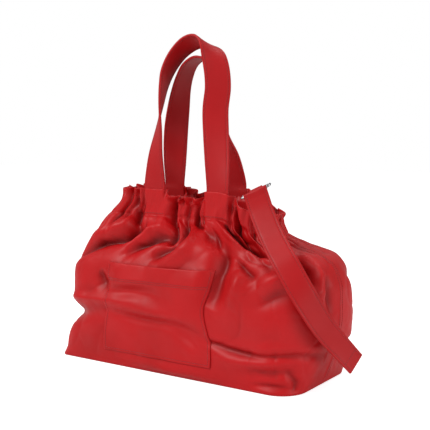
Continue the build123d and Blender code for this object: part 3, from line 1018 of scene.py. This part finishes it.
def band_profile(width):
    """Cross-section of a two-ply band: pressed flat at its stitch lines, with a painted round edge."""
    half, thick = width / 2, BAND_THICKNESS / 2
    x = np.concatenate([np.linspace(-half + 0.9, -half + 7, 8), np.linspace(-half + 9, half - 9, 7),
                        np.linspace(half - 7, half - 0.9, 8)])
    inside = half - np.abs(x)
    height = thick - STITCH_DENT * np.exp(-(((inside - EDGE_STITCH) / 1.1) ** 2))
    top = np.stack([x, height - EDGE_THINNING * np.exp(-inside / 2)], axis=-1)
    edge = np.array([(half - 0.25, thick * 0.62), (half, thick * 0.22), (half - 0.22, 0.0),
                     (half, -thick * 0.22), (half - 0.25, -thick * 0.62)])
    return np.vstack([top, edge, top[::-1] * (1, -1), -edge])


# A band's end faces stand out a little and are a little smaller, which rounds their edges
END_SHRINK, END_PUSH = 0.985, 0.5


def make_band(name, stations, width):
    """Band mesh with closed ends."""
    centre, along, across, normal = band_frames(stations)
    profile = band_profile(width)
    rows = [c + profile @ (a, n) for c, a, n in zip(centre, across, normal)]
    start, end = (centre[i] + (rows[i] - centre[i]) * END_SHRINK + along[i] * push
                  for i, push in ((0, -END_PUSH), (-1, END_PUSH)))
    points, faces = closed_rows([start] + rows + [end])
    return mesh_object(name, points * MM, faces, STRAP_RED, None)


def band_stitch_runs(stations, width, low=0.0, cross_ends=()):
    """Stitch lines along both edges and both faces of a band above a height, and across it."""
    centre, _, across, normal = band_frames(stations)
    keep = centre[:, 2] > low
    runs = []
    for face in (1, -1):
        lift = face * (BAND_THICKNESS / 2 - STITCH_DENT + STITCH_RISE)
        for edge in (1, -1):
            line = centre + across * edge * (width / 2 - EDGE_STITCH) + normal * lift
            runs.append((line[keep], normal[keep] * face))
        for end in cross_ends:
            at = np.linspace(-width / 2 + EDGE_STITCH, width / 2 - EDGE_STITCH, 30)
            lift = face * (BAND_THICKNESS / 2 + 0.1)
            line = centre[end] + np.outer(at, across[end]) + normal[end] * lift
            runs.append((line, np.tile(normal[end] * face, (len(at), 1))))
    return runs


# Height above which a handle's thread starts
THREAD_START = 283.0


def make_handle(name, stations, body):
    """One handle and its stitching, bending where it leaves the casing."""
    band = make_band(name, stations, HANDLE_WIDTH)
    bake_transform(band)
    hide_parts(f"{body}_outer", f"{body}_backing", f"{body}_ends")
    thread = stitches(f"{name}_stitching", band_stitch_runs(stations, HANDLE_WIDTH, THREAD_START), None)
    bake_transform(thread)


RING_BAR = np.array([122.6, -46.1, 284.0])
BAR_OUT = np.array([0.411, -0.911, 0.0])
ROLL_ROWS, ROLL_AROUND = 14, 28
ROLL_RADIUS, ROLL_END_RADIUS, ROLL_HOLE = 3.45, 3.2, 1.68
STRAP_CROSS_STITCH = -6


def make_strap_roll():
    """The strap's end rolled round the ring's bar: a thick tube, rounded at its ends."""
    axis = RING_AXIS / np.linalg.norm(RING_AXIS)
    turn = 2 * math.pi * np.arange(ROLL_AROUND) / ROLL_AROUND
    spokes = np.outer(np.cos(turn), BAR_OUT) + np.outer(np.sin(turn), np.cross(axis, BAR_OUT))
    places = np.linspace(-STRAP_WIDTH / 2, STRAP_WIDTH / 2, ROLL_ROWS)
    outer = np.where(np.abs(places) < STRAP_WIDTH / 2 - 0.5, ROLL_RADIUS, ROLL_END_RADIUS)
    hole = np.full(ROLL_ROWS, ROLL_HOLE)
    points = np.vstack([RING_BAR + axis * place + radius * spokes
                        for radii in (outer, hole) for place, radius in zip(places, radii)])
    shell = ROLL_ROWS * ROLL_AROUND
    faces = [face[::-1] for face in lathe_faces(ROLL_ROWS, ROLL_AROUND)]
    faces += lathe_faces(ROLL_ROWS, ROLL_AROUND, shell)
    for end, step in ((0, 1), (ROLL_ROWS - 1, -1)):
        for k in range(ROLL_AROUND):
            a, b = end * ROLL_AROUND + k, end * ROLL_AROUND + (k + 1) % ROLL_AROUND
            faces.append((a, b, b + shell, a + shell)[::step])
    mesh_object("loose_strap_fold", points * MM, faces, STRAP_RED, "strap")


def make_strap():
    """Loose strap, its stitching and its end folded round the ring."""
    band = make_band("loose_strap", STRAP, STRAP_WIDTH)
    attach(band, "strap")
    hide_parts("strap_outer", "strap_backing")
    runs = band_stitch_runs(STRAP, STRAP_WIDTH, cross_ends=(STRAP_CROSS_STITCH,))
    stitches("loose_strap_stitching", runs, "strap")
    make_strap_roll()


make_handle("front_handle_band", FRONT_HANDLE, "front_handle")
make_handle("rear_handle_band", REAR_HANDLE, "rear_handle")
make_strap()

# CAD pieces that keep their own shape
for node, material in (("strap_ring", RING_METAL), ("ring_tab", STRAP_RED), ("base_board", BASE_BOARD)):
    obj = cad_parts[node]
    obj.data.materials.clear()
    obj.data.materials.append(material)


# ---- stage, light and camera
FLOOR_REACH = 6.0
FLOOR_GLOW = 0.72
SKY_LIGHT = 0.40
BACKDROP = 1.0


def make_floor():
    """Plain white floor. It glows for the camera only, so that it is as white as the backdrop."""
    material, tree, shader, _ = node_material("floor")
    shader.inputs["Base Color"].default_value = (0.92, 0.92, 0.92, 1)
    shader.inputs["Roughness"].default_value = 0.9
    shader.inputs["Emission Color"].default_value = (1, 1, 1, 1)
    seen = tree.nodes.new("ShaderNodeLightPath")
    glow = tree.nodes.new("ShaderNodeMath")
    glow.operation = "MULTIPLY"
    glow.inputs[1].default_value = FLOOR_GLOW
    tree.links.new(seen.outputs["Is Camera Ray"], glow.inputs[0])
    tree.links.new(glow.outputs["Value"], shader.inputs["Emission Strength"])
    corners = [(x * FLOOR_REACH, y * FLOOR_REACH, 0) for x, y in ((-1, -1), (1, -1), (1, 1), (-1, 1))]
    mesh_object("floor", corners, [(0, 1, 2, 3)], material, None)


def make_world():
    """Soft light from all round, and a white backdrop that only the camera sees."""
    world = bpy.data.worlds.new("world")
    world.use_nodes = True
    tree = world.node_tree
    sky = tree.nodes["Background"]
    backdrop = tree.nodes.new("ShaderNodeBackground")
    for node, strength in ((sky, SKY_LIGHT), (backdrop, BACKDROP)):
        node.inputs["Color"].default_value = (1, 1, 1, 1)
        node.inputs["Strength"].default_value = strength
    seen = tree.nodes.new("ShaderNodeLightPath")
    mix = tree.nodes.new("ShaderNodeMixShader")
    sources = (seen.outputs["Is Camera Ray"], sky.outputs["Background"], backdrop.outputs["Background"])
    for source, socket in zip(sources, mix.inputs):
        tree.links.new(source, socket)
    tree.links.new(mix.outputs["Shader"], tree.nodes["World Output"].inputs["Surface"])
    bpy.context.scene.world = world


# Name, place, aim, size in metres and power in watts
LIGHTS = (
    ("key", (-0.75, -1.35, 1.55), (0, 0, 0.18), 0.8, 25),
    ("fill", (1.9, -0.3, 0.8), (0, 0, 0.2), 1.0, 13),
    ("top", (0.1, 0.5, 1.9), (0, 0, 0.2), 1.0, 8),
)


def area_light(name, place, target, size, power):
    """Soft square light aimed at a point."""
    data = bpy.data.lights.new(name, "AREA")
    data.shape, data.size, data.energy = "SQUARE", size, power
    light = bpy.data.objects.new(name, data)
    light.location = place
    light.rotation_euler = (Vector(target) - Vector(place)).to_track_quat("-Z", "Y").to_euler()
    bpy.context.collection.objects.link(light)


SENSOR_WIDTH, CAMERA_LENS = 36.0, 71.0
CAMERA_AZIMUTH = math.radians(34)
CAMERA_DISTANCE = 1.345
CAMERA_SIDE = 0.017
CAMERA_HEIGHT = 0.375
CAMERA_PITCH = math.radians(5.75)


def make_camera():
    """Camera in front of the bag and to its right, a little above the middle."""
    data = bpy.data.cameras.new("camera")
    data.sensor_width, data.lens = SENSOR_WIDTH, CAMERA_LENS
    camera = bpy.data.objects.new("camera", data)
    a = CAMERA_AZIMUTH
    camera.location = (CAMERA_DISTANCE * math.sin(a) + CAMERA_SIDE * math.cos(a),
                       -CAMERA_DISTANCE * math.cos(a) + CAMERA_SIDE * math.sin(a), CAMERA_HEIGHT)
    camera.rotation_euler = (math.pi / 2 - CAMERA_PITCH, 0, a)
    bpy.context.collection.objects.link(camera)
    bpy.context.scene.camera = camera


make_floor()
make_world()
for light in LIGHTS:
    area_light(*light)
bpy.context.scene.view_settings.view_transform = "Standard"
make_camera()
